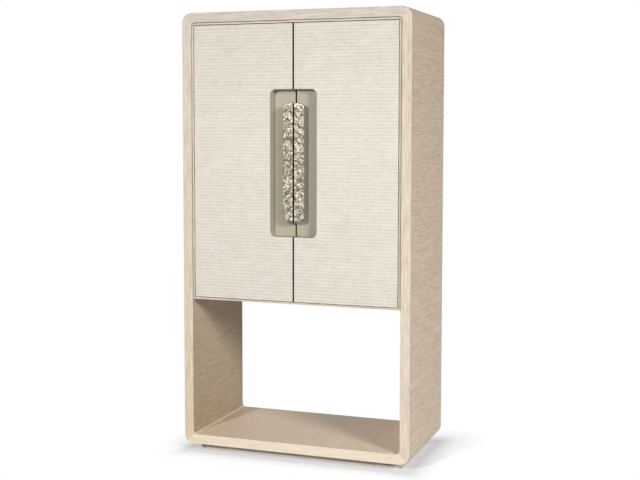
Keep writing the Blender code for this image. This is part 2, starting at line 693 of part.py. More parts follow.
def build_inside(boards):
    mirror_side = ROOM_SIDE - MIRROR_MARGIN
    board("mirror_panel", (-mirror_side, PANEL_FACE - MIRROR_GLASS, SHELF_TOP + FIT),
          (mirror_side, PANEL_FACE, ROOM_TOP - MIRROR_MARGIN), MIRROR)
    glass_base = ROOM_TOP - GLASS_DROP
    shelf_side = ROOM_SIDE - SHELF_END_GAP
    glass_back = PANEL_FACE - MIRROR_GLASS - SHELF_BACK_GAP
    build_peg_shelf("glass_shelf", (-shelf_side, ROOM_FRONT + GLASS_FRONT_SETBACK, glass_base),
                    (shelf_side, glass_back, glass_base + GLASS), (boards["left"], boards["right"]),
                    CLEAR_GLASS)
    timber_base = ROOM_FLOOR + TIMBER_RISE
    build_peg_shelf("timber_shelf",
                    (PARTITION / 2 + SHELF_END_GAP, ROOM_FRONT + TIMBER_FRONT_SETBACK, timber_base),
                    (shelf_side, PANEL_FACE - SHELF_BACK_GAP, timber_base + TIMBER),
                    (boards["partition"], boards["right"]), OAK_INSIDE)
    build_rails()
    build_divider()


def build_doors(beads):
    for name, sign in SIDES:
        axis = door_axis(name, sign)
        core = build_core(name, sign, axis)
        build_skin(name, sign, axis)
        build_pan(name, sign, axis)
        build_handle(name, sign, axis)
        build_hinge(name, sign, "top", 1, core, beads["top_bead"], axis)
        build_hinge(name, sign, "bottom", -1, core, beads["bottom_bead"], axis)
        build_catch(name, sign, axis)


build_shell()
build_plinth()
box_boards = build_box()
door_beads = build_beads()
build_doors(door_beads)
build_inside(box_boards)
bpy.context.view_layer.update()
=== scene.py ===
"""Bar cabinet: a limed oak shell round a cupboard with raffia doors, over an open bay.

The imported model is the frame: metres, +Z up, the doors facing -Y. Each section dresses or remakes
one group of pieces, in the order in which the cabinet is put together.
"""

import math

import bmesh
import bpy
import numpy as np
from mathutils import Matrix, Vector


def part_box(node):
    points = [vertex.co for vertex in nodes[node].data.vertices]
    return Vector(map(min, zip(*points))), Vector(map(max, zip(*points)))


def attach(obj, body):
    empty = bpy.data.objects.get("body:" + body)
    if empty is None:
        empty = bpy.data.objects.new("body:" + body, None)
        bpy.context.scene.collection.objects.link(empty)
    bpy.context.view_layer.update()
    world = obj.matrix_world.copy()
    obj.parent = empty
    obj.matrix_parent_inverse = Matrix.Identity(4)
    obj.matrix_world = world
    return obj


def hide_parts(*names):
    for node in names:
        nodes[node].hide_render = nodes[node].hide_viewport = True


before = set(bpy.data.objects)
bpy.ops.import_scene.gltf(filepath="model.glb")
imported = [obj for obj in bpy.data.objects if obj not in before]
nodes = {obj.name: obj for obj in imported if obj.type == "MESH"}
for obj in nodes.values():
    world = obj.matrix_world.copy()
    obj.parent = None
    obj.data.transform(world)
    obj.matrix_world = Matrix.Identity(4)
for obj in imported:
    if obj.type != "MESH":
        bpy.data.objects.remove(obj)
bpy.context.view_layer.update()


# The shell is four oak members mitred at rounded corners. Its faces are veneered with the grain
# running from front to back, its edges are lipped with strips whose grain follows the member, and
# all of it is limed, so that pale filler sits in the open grain.

class Wire:
    """A socket in a node tree. Arithmetic on it adds Math nodes to the same tree."""

    def __init__(self, tree, socket=None):
        self.tree = tree
        self.socket = socket

    def node(self, kind, settings=None, sockets=None, output=0):
        """Add any node: its settings first, then a value or a wire for each of its sockets."""
        made = self.tree.nodes.new(kind)
        for name, value in (settings or {}).items():
            setattr(made, name, value)
        for name, value in (sockets or {}).items():
            if isinstance(value, Wire):
                self.tree.links.new(value.socket, made.inputs[name])
            else:
                made.inputs[name].default_value = value
        return Wire(self.tree, made.outputs[output])

    def math(self, operation, *values):
        return self.node("ShaderNodeMath", {"operation": operation}, dict(enumerate(values)))

    def __add__(self, other):
        return self.math("ADD", self, other)

    def __sub__(self, other):
        return self.math("SUBTRACT", self, other)

    def __rsub__(self, other):
        return self.math("SUBTRACT", other, self)

    def __mul__(self, other):
        return self.math("MULTIPLY", self, other)

    def __mod__(self, other):
        return self.math("FLOORED_MODULO", self, other)

    def __gt__(self, other):
        return self.math("GREATER_THAN", self, other)

    def __abs__(self):
        return self.math("ABSOLUTE", self)

    __radd__ = __add__
    __rmul__ = __mul__

    def part(self, axis):
        """One axis of a vector wire."""
        return self.node("ShaderNodeSeparateXYZ", None, {"Vector": self}, "XYZ".index(axis))

    def moved(self, step):
        """A vector wire with another one added to it."""
        return self.node("ShaderNodeVectorMath", {"operation": "ADD"}, {0: self, 1: step})

    def times(self, factor):
        """A colour or vector wire scaled by a number."""
        return self.node("ShaderNodeVectorMath", {"operation": "SCALE"}, {0: self, "Scale": factor})

    def blend(self, first, second):
        """From the first colour to the second, as this wire goes from 0 to 1."""
        ends = [c if isinstance(c, Wire) else (*c, 1.0) for c in (first, second)]
        return self.node("ShaderNodeMix", {"data_type": "RGBA"}, {0: self, 6: ends[0], 7: ends[1]}, 2)

    def noise(self, stretch, detail=2.0, output="Fac"):
        """Noise read on this vector wire, with its own frequency, in waves a metre, on each axis."""
        scaled = self.node("ShaderNodeVectorMath", {"operation": "MULTIPLY"}, {0: self, 1: stretch})
        return self.node("ShaderNodeTexNoise", None,
                         {"Vector": scaled, "Scale": 1.0, "Detail": detail}, output)

    def spread(self, low, high):
        """This wire stretched so that low becomes 0 and high becomes 1, with its ends cut off."""
        return self.node("ShaderNodeMapRange", None, {"Value": self, "From Min": low, "From Max": high})


def start_finish(name, constants):
    """A Principled material with constant sockets set: the material, its first wire and its shader."""
    made = bpy.data.materials.new(name)
    made.use_nodes = True
    shader = made.node_tree.nodes["Principled BSDF"]
    for socket, value in constants.items():
        shader.inputs[socket].default_value = value
    return made, Wire(made.node_tree), shader


def feed(shader, socket, wire):
    wire.tree.links.new(wire.socket, shader.inputs[socket])


def emboss(shader, height, depth, strength=1.0):
    """A height wire, from 0 to 1, as relief of a depth in metres."""
    feed(shader, "Normal", height.node(
        "ShaderNodeBump", None, {"Height": height, "Distance": depth, "Strength": strength}))


def object_place(start):
    """The place on the object, in metres."""
    return start.node("ShaderNodeTexCoord", output="Object")


def stretched(grain, across, along):
    """Noise frequencies for a grain that runs along one axis."""
    return tuple(along if axis == grain else across for axis in "XYZ")


def toned(colour, *factors):
    """A colour times one factor, or times one for each of its three channels."""
    return tuple(c * f for c, f in zip(colour, factors * 3))


EARLY_WOOD = (1.38, 1.41, 1.46)
LATE_WOOD = (0.62, 0.59, 0.54)
LIME_FILLER = (1.25, 1.32, 1.42)
UPPER_COLOUR_AT = 2.0
# Waves a metre across the grain and along it.
BANDS = (24.0, 1.1)
STREAKS = (210.0, 8.0)
FIBRES = (520.0, 20.0)
PORES = (1300.0, 50.0)


def limed_oak(name, grain, body, lip_grain=None, lip=None, lip_from=0.0, calm=0.40):
    """Oak with pale filler in its grain. body and lip each hold the wood's colour at the floor and its
    colour at UPPER_COLOUR_AT. Where |y| passes lip_from, it is a lipping of its own grain. The figure
    is fainter where calm is larger."""
    made, start, shader = start_finish(name, {"Specular IOR Level": 0.35})
    place = object_place(start)
    sway = place.noise((5.0, 3.0, 5.0), 1.0, "Color").times(0.016)
    wavy = place.moved(sway)

    def figure(direction, colours):
        """Colour, fibres and filled pores of wood whose grain runs in one direction."""
        bands = wavy.noise(stretched(direction, *BANDS), 2.0)
        streaks = wavy.noise(stretched(direction, *STREAKS), 3.0)
        fibres = wavy.noise(stretched(direction, *FIBRES), 2.0)
        filler = place.noise(stretched(direction, *PORES), 1.0).spread(0.60, 0.72)
        tone = bands * 0.24 + streaks + fibres * 0.70 + 0.03
        # Colour by height. On the shell's sides this carries painted light and shade.
        rise = place.part("Z").spread(0.0, UPPER_COLOUR_AT)
        dark, light, pale = (rise.blend(*(toned(colour, *tint) for colour in colours))
                             for tint in (LATE_WOOD, EARLY_WOOD, LIME_FILLER))
        wood = tone.spread(1.0 - calm, 1.0 + calm).blend(dark, light)
        return (filler * 0.3).blend(wood, pale), fibres, filler

    colour, fibres, filler = figure(grain, body)
    if lip:
        lip_colour, lip_fibres, lip_filler = figure(lip_grain, lip)
        edge = abs(place.part("Y")) > lip_from
        colour = edge.blend(colour, lip_colour)
        fibres = fibres + edge * (lip_fibres - fibres)
        filler = filler + edge * (lip_filler - filler)
    feed(shader, "Base Color", colour)
    feed(shader, "Roughness", fibres * 0.16 + 0.46)
    emboss(shader, fibres * 0.7 + filler * 0.3, 0.00022, 0.6)
    return made


def dress(made, *names):
    """The material on CAD nodes that are shown as they are."""
    for name in names:
        nodes[name].material_slots[0].material = made


def placed(name, data):
    """A new object in the scene that holds this data."""
    made = bpy.data.objects.new(name, data)
    bpy.context.scene.collection.objects.link(made)
    return made


WELD = 0.00002
FLAT_ANGLE = 0.002


def remade(name, made, body, angle=34.0, stain=None, stained=None):
    """A welded, smooth-shaded copy of a CAD node, with a second, dark material on the faces that
    stained() picks: a real stain on most pieces, painted shade on the top bead's underside.
    """
    mesh = nodes[name].data.copy()
    mesh.materials.clear()
    mesh.materials.append(made)
    shape = bmesh.new()
    shape.from_mesh(mesh)
    bmesh.ops.remove_doubles(shape, verts=shape.verts, dist=WELD)
    bmesh.ops.dissolve_limit(shape, angle_limit=FLAT_ANGLE, verts=shape.verts, edges=shape.edges)
    for face in shape.faces:
        face.smooth = True
        if stained and stained(face):
            face.material_index = 1
    if stained:
        mesh.materials.append(stain)
    shape.to_mesh(mesh)
    shape.free()
    mesh.set_sharp_from_angle(angle=math.radians(angle))
    piece = placed(name + "_finished", mesh)
    evened = piece.modifiers.new("evened", "WEIGHTED_NORMAL")
    evened.keep_sharp = True
    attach(piece, body)
    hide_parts(name)


LIPPING_FROM = 0.2781
# Each member, the way it runs, how calm its figure is, and the colours of its faces and its lippings.
# The side faces' colours change with height as painted light. The right side, lighter towards the floor, is
# painted light from the floor. The left side is the open bay's wall, and it is darker towards the floor as
# painted shade. The bottom's lighter face is partly the wood's own colour and partly painted light on the
# bay floor.
SHELL_OAK = (
    ("left_side", "Z", 0.48, ((0.42, 0.32, 0.212), (0.64, 0.535, 0.41)),
     ((0.67, 0.55, 0.39), (0.56, 0.495, 0.42))),
    ("right_side", "Z", 0.46, ((0.735, 0.592, 0.45), (0.505, 0.397, 0.282)),
     ((0.71, 0.61, 0.49), (0.55, 0.463, 0.37))),
    ("top", "X", 0.40, ((0.50, 0.42, 0.33), (0.50, 0.42, 0.33)),
     ((0.50, 0.435, 0.37), (0.50, 0.435, 0.37))),
    ("bottom", "X", 0.90, ((0.80, 0.65, 0.51), (0.80, 0.65, 0.51)),
     ((0.78, 0.67, 0.525), (0.78, 0.67, 0.525))))
for member, along, calm, face_colours, lipping_colours in SHELL_OAK:
    oak = limed_oak("limed_oak_" + member, "Y", face_colours, along, lipping_colours, LIPPING_FROM, calm)
    remade("shell_" + member, oak, "cabinet")


# The plinth is a frame of four oak rails under the shell, in the same finish. Four turned nylon
# glides are pressed into its corners and carry the cabinet.

PLINTH_OAK = ((0.72, 0.61, 0.48), (0.72, 0.61, 0.48))
dress(limed_oak("limed_oak_plinth", "X", PLINTH_OAK), "plinth_front_rail", "plinth_back_rail")
dress(limed_oak("limed_oak_plinth_ends", "Y", PLINTH_OAK), "plinth_left_rail", "plinth_right_rail")


def moulded_nylon(name, colour):
    """Black nylon with the faint orange peel of the mould."""
    made, start, shader = start_finish(name, {"Specular IOR Level": 0.4})
    place = object_place(start)
    mottle = place.noise((900.0, 900.0, 900.0), 2.0)
    feed(shader, "Base Color", mottle.blend(toned(colour, 0.7), toned(colour, 1.4)))
    feed(shader, "Roughness", mottle * 0.2 + 0.4)
    emboss(shader, mottle, 0.00005)
    return made


nylon = moulded_nylon("moulded_nylon", (0.022, 0.021, 0.020))
for end in ("front", "back"):
    for side in ("left", "right"):
        remade(f"floor_glide_{end}_{side}", nylon, "cabinet")


# The cupboard is a box of veneered boards inside the shell, with a back panel screwed into it.
# Uprights have their grain running up, and shelves, floor and top across.

OAK_INSIDE = ((0.47, 0.375, 0.275), (0.47, 0.375, 0.275))
inside_upright = limed_oak("inside_oak_upright", "Z", OAK_INSIDE)
inside_level = limed_oak("inside_oak_level", "X", OAK_INSIDE)
dress(inside_upright, "carcass_left_side", "carcass_right_side", "carcass_back", "lower_partition")
dress(inside_level, "carcass_top", "cupboard_floor", "bar_shelf")


def brushed_metal(name, colour, roughness, brushed_along):
    """A metal whose finish varies a little, with fine lines along one axis."""
    made, start, shader = start_finish(name, {"Metallic": 1.0})
    place = object_place(start)
    cloud = place.noise((60.0, 60.0, 60.0), 3.0)
    lines = place.noise(stretched(brushed_along, 3000.0, 90.0), 1.0)
    tone = cloud * 0.16 + lines * 0.10 + 0.87
    feed(shader, "Base Color", cloud.blend(colour, toned(colour, 0.93)).times(tone))
    feed(shader, "Roughness", lines * 0.12 + cloud * 0.14 + (roughness - 0.13))
    emboss(shader, lines, 0.00003)
    return made


steel = brushed_metal("zinc_steel", (0.60, 0.60, 0.59), 0.34, "X")
brass = brushed_metal("satin_brass", (0.62, 0.47, 0.23), 0.30, "X")


# Sizes of a screw head as shares of its radius. CROSS_LIFT is a share of its height.
HEAD_HEIGHT = 0.27
HEAD_TOP = 0.8
ARM_LENGTH = 1.1
ARM_WIDTH = 0.2
CROSS_LIFT = 0.75


def screw_tree(name):
    """Cross-head screws on the points of a mesh: named inputs, one prototype, real geometry out."""
    tree = bpy.data.node_groups.new(name, "GeometryNodeTree")
    for label, kind, value in (
            ("Points", "Geometry", None), ("Head Radius", "Float", 0.003), ("Head Height", "Float", 0.0008),
            ("Facing", "Vector", (0, 1, 0)), ("Turn Seed", "Int", 3), ("Finish", "Material", None)):
        socket = tree.interface.new_socket(label, in_out="INPUT", socket_type="NodeSocket" + kind)
        if value is not None:
            socket.default_value = value
    tree.interface.new_socket("Screws", in_out="OUTPUT", socket_type="NodeSocketGeometry")
    start = Wire(tree)
    given = {s.name: Wire(tree, s) for s in tree.nodes.new("NodeGroupInput").outputs if s.name}
    radius = given["Head Radius"]
    height = given["Head Height"]
    head = start.node("GeometryNodeMeshCone", {"fill_type": "NGON"}, {
        "Vertices": 20, "Radius Top": radius * HEAD_TOP, "Radius Bottom": radius, "Depth": height})
    arms = [start.node("ShaderNodeCombineXYZ", None, {"X": radius * wide, "Y": radius * deep, "Z": height})
            for wide, deep in ((ARM_LENGTH, ARM_WIDTH), (ARM_WIDTH, ARM_LENGTH))]
    slots = [start.node("GeometryNodeMeshCube", None, {"Size": size}) for size in arms]
    lift = start.node("ShaderNodeCombineXYZ", None, {"Z": height * CROSS_LIFT})
    cross = start.node("GeometryNodeMeshBoolean", {"operation": "UNION"}, {"Mesh 2": slots[0]})
    tree.links.new(slots[1].socket, cross.socket.node.inputs["Mesh 2"])
    raised = start.node("GeometryNodeTransform", None, {"Geometry": cross, "Translation": lift})
    cut = start.node("GeometryNodeMeshBoolean", {"operation": "DIFFERENCE"},
                     {"Mesh 1": head, "Mesh 2": raised})
    seated = start.node("GeometryNodeTransform", None, {
        "Geometry": cut, "Translation": start.node("ShaderNodeCombineXYZ", None, {"Z": height * 0.5})})
    upright = start.node("FunctionNodeAlignRotationToVector", {"axis": "Z"}, {"Vector": given["Facing"]})
    turn = start.node("FunctionNodeRandomValue", {"data_type": "FLOAT"},
                      {2: 0.0, 3: 3.0, "Seed": given["Turn Seed"]}, 1)
    spin = start.node("FunctionNodeAxisAngleToRotation", None, {"Axis": (0.0, 0.0, 1.0), "Angle": turn})
    turned = start.node("FunctionNodeRotateRotation", {"rotation_space": "LOCAL"}, {0: upright, 1: spin})
    placed = start.node("GeometryNodeInstanceOnPoints", None, {
        "Points": given["Points"], "Instance": seated, "Rotation": turned})
    real = start.node("GeometryNodeRealizeInstances", None, {"Geometry": placed})
    painted = start.node("GeometryNodeSetMaterial", None, {"Geometry": real, "Material": given["Finish"]})
    tree.links.new(painted.socket, tree.nodes.new("NodeGroupOutput").inputs[0])
    return tree


SCREWS = screw_tree("cross_head_screws")


def screws(name, points, facing, radius, body, made):
    """A set of screws on one body, turned into a plain mesh."""
    mesh = bpy.data.meshes.new(name)
    mesh.from_pydata(points, [], [])
    carrier = placed(name + "_points", mesh)
    grown = carrier.modifiers.new("screws", "NODES")
    grown.node_group = SCREWS
    values = {"Head Radius": radius, "Head Height": radius * HEAD_HEIGHT, "Facing": facing, "Finish": made}
    for socket in SCREWS.interface.items_tree:
        if socket.in_out == "INPUT" and socket.name in values:
            grown[socket.identifier] = values[socket.name]
    bpy.context.view_layer.update()
    ready = bpy.data.meshes.new_from_object(carrier.evaluated_get(bpy.context.evaluated_depsgraph_get()))
    ready.name = name
    bpy.data.objects.remove(carrier)
    piece = placed(name, ready)
    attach(piece, body)


PANEL_SCREW_RADIUS = 0.0035
PANEL_MARGIN = 0.012
PANEL_SCREWS_ACROSS = 7
PANEL_SCREWS_UP = 9
panel_low, panel_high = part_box("carcass_back")
across = np.linspace(panel_low.x + PANEL_MARGIN, panel_high.x - PANEL_MARGIN, PANEL_SCREWS_ACROSS)
up = np.linspace(panel_low.z + PANEL_MARGIN, panel_high.z - PANEL_MARGIN, PANEL_SCREWS_UP)
spots = [(x, panel_high.y, z) for x in across for z in (up[0], up[-1])]
spots += [(x, panel_high.y, z) for z in up[1:-1] for x in (across[0], across[-1])]
screws("back_panel_screws", spots, (0.0, 1.0, 0.0), PANEL_SCREW_RADIUS,
       "cabinet", steel)


# Four slim oak beads are pinned to the front of the box and frame the doors. They are limed like
# the shell's edges. The top bead's underside is dark, partly a stain like the doors' meeting edges and
# partly painted shade in the gap above the doors. The right bead's darker colour is painted shade.

def brushed_stain(name, colour):
    """Thin dark stain, a little uneven from the brush. On the top bead's underside it is painted shade."""
    made, start, shader = start_finish(name, {"Specular IOR Level": 0.02})
    uneven = object_place(start).noise((120.0, 120.0, 40.0), 2.0)
    feed(shader, "Base Color", uneven.blend(toned(colour, 0.6), toned(colour, 1.5)))
    feed(shader, "Roughness", uneven * 0.2 + 0.7)
    return made


STAIN_AND_SHADE_COLOUR = (0.024, 0.015, 0.006)
# Dark stain for meeting edges and sawn faces, also used as painted shade on the top bead's underside.
GAP_STAIN_AND_SHADE = brushed_stain("gap_stain_and_painted_shade", STAIN_AND_SHADE_COLOUR)
BEAD_OAK = ((0.58, 0.49, 0.37), (0.54, 0.465, 0.38))
level_bead = limed_oak("limed_oak_bead_level", "X", BEAD_OAK)
left_bead_oak = limed_oak("limed_oak_bead_left", "Z", BEAD_OAK)
# Painted shade: the right bead is coloured darker than the others.
right_bead_painted_shade_oak = limed_oak("limed_oak_bead_right_painted_shade", "Z", ((0.51, 0.43, 0.31), (0.465, 0.395, 0.285)))
# Painted shade, partly a real stain: the top bead's underside gets the dark material.
remade("top_bead", level_bead, "cabinet",
       stain=GAP_STAIN_AND_SHADE, stained=lambda face: face.normal.z < -0.9)
remade("bottom_bead", level_bead, "cabinet")
remade("left_bead", left_bead_oak, "cabinet")
remade("right_bead", right_bead_painted_shade_oak, "cabinet")


# Each door is a board sprayed with an off-white satin lacquer on its back and edges, and stained
# nearly black on its meeting edge, so that the gap reads as a dark line.

MEETING_REACH = 0.010
BACK_SPRAY = 0.0015


def sprayed_lacquer(name, colour, edge_colour, back_from):
    """Satin lacquer with faint orange peel, and stain on the meeting edge in front of back_from."""
    made, start, shader = start_finish(name, {"Coat Roughness": 0.3, "Specular IOR Level": 0.3})
    place = object_place(start)
    cloud = place.noise((9.0, 9.0, 9.0), 3.0)
    peel = place.noise((420.0, 420.0, 420.0), 1.0)
    clouded = cloud.spread(0.3, 0.7).blend(toned(colour, 0.95), colour)
    edge = (1.0 - (place.part("Y") > back_from)) * (1.0 - (abs(place.part("X")) > MEETING_REACH))
    feed(shader, "Base Color", edge.blend(clouded, edge_colour))
    feed(shader, "Coat Weight", (1.0 - edge) * 0.15)
    feed(shader, "Roughness", peel * 0.1 + edge * 0.5 + 0.38)
    emboss(shader, peel, 0.00006, 0.5)
    return made


door_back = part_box("left_door_core")[1].y
lacquer = sprayed_lacquer("door_lacquer", (0.62, 0.57, 0.48), STAIN_AND_SHADE_COLOUR, door_back - BACK_SPRAY)
dress(lacquer, "left_door_core", "right_door_core")


# The raffia is a plain weave of flat palm strands, glued over the whole front of each door and cut
# round the pan. Weft rows are in pairs of a stouter and a slimmer strand, which shows as ribs.

def raffia_finish(name):
    """Strand by strand colour, with fibres along each strand and shade where strands meet. It darkens
    towards the doors' top, painted shade.
    """
    made, start, shader = start_finish(name, {"Specular IOR Level": 0.3, "Sheen Weight": 0.1})
    weave = start.node("ShaderNodeTexCoord", output="UV")
    u = weave.part("X")
    v = weave.part("Y")
    row = v.math("FLOOR", v)
    column = u.math("FLOOR", u)
    under = (row + column) % 2.0
    weft = start.node("ShaderNodeCombineXYZ", None, {"X": u * 0.16, "Y": row * 3.7})
    warp = start.node("ShaderNodeCombineXYZ", None, {"X": column * 3.1, "Y": v * 0.16, "Z": 40.0})
    weft_tone = weft.noise((1.0, 1.0, 1.0), 3.0)
    warp_tone = warp.noise((1.0, 1.0, 1.0), 3.0)
    weft_fibre = weave.noise((2.2, 21.0, 1.0), 2.0)
    warp_fibre = weave.noise((21.0, 2.2, 1.0), 2.0)
    tone = weft_tone + under * (warp_tone - weft_tone) * 0.6
    fibre = weft_fibre + under * (warp_fibre - weft_fibre)
    from_row = abs(v % 1.0 - 0.5) * 2.0
    from_column = abs(u % 1.0 - 0.5) * 2.0
    edge = from_row + under * (from_column - from_row)
    hollow = edge.spread(0.62, 1.0)
    slim = row % 2.0
    cloud = object_place(start).noise((11.0, 11.0, 11.0), 4.0)
    # Painted shade: the raffia darkens towards the doors' top.
    shaded = object_place(start).part("Z").spread(1.4, 1.95)
    light = (tone * 0.42 + fibre * 0.14 + cloud * 0.12 + hollow * -0.16 + slim * -0.08
             + shaded * -0.09 + 0.71)
    straw = weft.noise((0.5, 0.5, 0.5), 1.0).spread(0.35, 0.7)
    shade = straw.blend((0.40, 0.36, 0.29), (0.39, 0.35, 0.265))
    sheen = straw.blend((0.81, 0.765, 0.695), (0.805, 0.75, 0.66))
    feed(shader, "Base Color", light.spread(0.6, 1.2).blend(shade, sheen))
    feed(shader, "Roughness", fibre * 0.2 + 0.55)
    emboss(shader, fibre * 0.5 + (1.0 - edge) * 0.5, 0.0003, 0.7)
    return made


RAFFIA = raffia_finish("woven_raffia")
STRAND = 0.0072
RELIEF = 0.0007
SWAY = 0.00035
SWAY_WAVES = 41.0
UNEVEN = 0.0001
# Heights as shares of the relief. A weft strand's crest is 1, and a slim one's is lower by SLIM_DROP.
WARP_CREST = 0.78
SLIM_DROP = 0.25
BESIDE_CREST = 0.5
BETWEEN_ROWS = 0.22
RIM_HEIGHT = 0.25
# The notch for the pan. Grid points nearer to its round corners than CORNER_SNAP move on to them.
NOTCH_PLAY = 0.0003
NOTCH_RADIUS = 0.0268
CORNER_SNAP = 0.0021
RIM_WIDTH = 0.001
STAIN_REACH = 0.002
HAIR = 1e-6


def half_steps(low, high):
    """Grid lines half a strand apart, an even number of steps between two places."""
    return np.linspace(low, high, 2 * round((high - low) / STRAND) + 1)


def from_notch(x, z, notch, low, high):
    """How far points lie outside the notch for the pan, and the direction straight out of it."""
    height = z - (low + high) / 2
    over_x = x - (notch - NOTCH_RADIUS)
    over_z = np.abs(height) - ((high - low) / 2 - NOTCH_RADIUS)
    out_x, out_z = np.maximum(over_x, 0), np.maximum(over_z, 0)
    run = np.hypot(out_x, out_z)
    distance = run + np.minimum(np.maximum(over_x, over_z), 0) - NOTCH_RADIUS
    safe = np.maximum(run, 1e-9)
    return distance, out_x / safe, out_z / safe * np.sign(height)


def crossings(i, j, rng):
    """Height of each grid point in the relief, 0 to 1. Weft and warp lie on top in turn."""
    rows, columns = i.shape
    row_lift = rng.uniform(0.8, 1.0, rows)
    column_lift = rng.uniform(0.9, 1.0, columns)
    on_row, on_column = j % 2 == 1, i % 2 == 1
    weft_on_top = (i // 2 + j // 2) % 2 == 0
    weft_crest = 1.0 - SLIM_DROP * (j // 2 % 2)
    height = np.where(on_row & on_column, np.where(weft_on_top, weft_crest, WARP_CREST), 0.0)
    height = np.where(on_row & ~on_column, BESIDE_CREST, height)
    height = np.where(on_column & ~on_row, BETWEEN_ROWS, height)
    return height * (row_lift[j // 2] * column_lift[i // 2])


def raffia_cloth(side, sign, seed):
    """The woven front of one door, folded back at its edges, with a UV map in strands."""
    skin_low, skin_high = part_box(f"{side}_raffia_skin")
    pan_low, pan_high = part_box(f"{side}_recess_pan")
    inner, outer = sorted((abs(skin_low.x), abs(skin_high.x)))
    notch = max(abs(pan_low.x), abs(pan_high.x)) + NOTCH_PLAY
    low, high = pan_low.z - NOTCH_PLAY, pan_high.z + NOTCH_PLAY
    xs = np.concatenate([half_steps(inner, notch)[:-1], half_steps(notch, outer)])
    zs = np.concatenate([half_steps(skin_low.z, low)[:-1], half_steps(low, high)[:-1],
                         half_steps(high, skin_high.z)])
    x, z = np.meshgrid(xs, zs)
    i, j = np.meshgrid(np.arange(len(xs)), np.arange(len(zs)))

    distance, out_x, out_z = from_notch(x, z, notch, low, high)
    near = (np.abs(distance) < CORNER_SNAP) & (out_x > 0.01) & (np.abs(out_z) > 0.01)
    x = np.where(near, x - distance * out_x, x)
    z = np.where(near, z - distance * out_z, z)
    distance = np.where(near, 0.0, distance)

    rng = np.random.default_rng(seed)
    rim = (i == 0) | (j == 0) | (i == len(xs) - 1) | (j == len(zs) - 1) | (distance < RIM_WIDTH)
    height = np.where(rim, RIM_HEIGHT, crossings(i, j, rng))
    sway = np.sin(x * SWAY_WAVES + j * 0.9) * SWAY + rng.normal(0.0, UNEVEN, x.shape)
    z = np.where(rim, z, z + sway)
    y = skin_low.y + RELIEF * (1.0 - height)

    shape = bmesh.new()
    strands = shape.loops.layers.uv.new("strands")
    grid = {(r, c): shape.verts.new((sign * x[r, c], y[r, c], z[r, c]))
            for r, c in zip(*np.nonzero(distance > -HAIR))}
    for r, c in np.ndindex(len(zs) - 1, len(xs) - 1):
        ring = [k for k in ((r, c), (r, c + 1), (r + 1, c + 1), (r + 1, c)) if k in grid]
        if len(ring) < 3:
            continue
        face = shape.faces.new([grid[k] for k in ring[::sign]])
        face.smooth = True
        for loop, (row, column) in zip(face.loops, ring[::sign]):
            loop[strands].uv = (column / 2, row / 2)
    border = [e for e in shape.edges if e.is_boundary]
    folded = bmesh.ops.extrude_edge_only(shape, edges=border)["geom"]
    for vertex in (g for g in folded if isinstance(g, bmesh.types.BMVert)):
        vertex.co.y = skin_high.y
    bmesh.ops.contextual_create(shape, geom=[e for e in shape.edges if e.is_boundary])
    bmesh.ops.recalc_face_normals(shape, faces=shape.faces)
    mesh = bpy.data.meshes.new(f"{side}_raffia")
    shape.to_mesh(mesh)
    shape.free()
    mesh.materials.append(RAFFIA)
    mesh.materials.append(GAP_STAIN_AND_SHADE)
    for face in mesh.polygons:
        face.material_index = int(abs(face.normal.x) > 0.5 and abs(face.center.x) < inner + STAIN_REACH)
    mesh.set_sharp_from_angle(angle=math.radians(50))
    cloth = placed(f"{side}_raffia", mesh)
    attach(cloth, f"{side}_door")
    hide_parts(f"{side}_raffia_skin")


raffia_cloth("left", -1, 11)
raffia_cloth("right", 1, 12)


# The pan behind the handle is pressed from sheet metal in two halves, one let into each door, and
# sprayed a satin taupe bronze. The halves are stained dark where they meet, like the doors.

def taupe_bronze(name, colour):
    """Sprayed bronze: fine metal flake in a satin clear coat."""
    made, start, shader = start_finish(name, {"Specular IOR Level": 0.12})
    place = object_place(start)
    flake = place.noise((1800.0, 1800.0, 1800.0), 1.0)
    cloud = place.noise((14.0, 14.0, 7.0), 2.0)
    tone = flake * 0.14 + 0.93
    feed(shader, "Base Color", cloud.blend(colour, toned(colour, 0.92)).times(tone))
    feed(shader, "Roughness", flake * 0.12 + 0.48)
    emboss(shader, flake, 0.00002)
    return made


def is_pan_meeting(face):
    """Whether a face of the pan looks at the other half from across the gap."""
    return abs(face.normal.x) > 0.9 and abs(face.calc_center_median().x) < 0.005


BRONZE = taupe_bronze("taupe_bronze", (0.44, 0.395, 0.31))
for side in ("left", "right"):
    remade(f"{side}_recess_pan", BRONZE, f"{side}_door", 40.0, GAP_STAIN_AND_SHADE, is_pan_meeting)


# The handle is one cast bar sawn down the middle, half on each door, standing on two posts. It is
# cast from a chiselled pattern and plated pewter. It is bright on the ridges and dark in the creases,
# partly the plating's own finish and partly painted shade and highlight in place of reflections.
# The sawn faces are stained like the doors' meeting edges.

def pewter_plate(name):
    """Plating that is bright and smooth on high spots and dull in the hollows, by a relief attribute.
    The dark hollows and bright ridges are partly painted shade and highlight standing in for reflections.
    """
    made, start, shader = start_finish(name, {"Metallic": 1.0})
    place = object_place(start)
    relief = start.node("ShaderNodeAttribute", {"attribute_name": "relief"}, output="Fac")
    grit = place.noise((700.0, 700.0, 700.0), 3.0)
    cloud = place.noise((70.0, 70.0, 70.0), 2.0)
    bright = (relief * 0.75 + cloud * 0.3).spread(0.22, 0.95)
    feed(shader, "Base Color", bright.blend((0.10, 0.083, 0.06), (0.58, 0.53, 0.44)))
    feed(shader, "Roughness", (1.0 - bright) * 0.18 + grit * 0.12 + 0.33)
    emboss(shader, grit * 0.4 + cloud * 0.6, 0.0005, 0.5)
    return made


PEWTER = pewter_plate("pewter_plate")
ARCH = 0.019
THICK = 0.018
CORNER = 0.003
DRAFT = 0.0065
RIM_BEND = 0.005
CHISEL_DEPTH = 0.0026
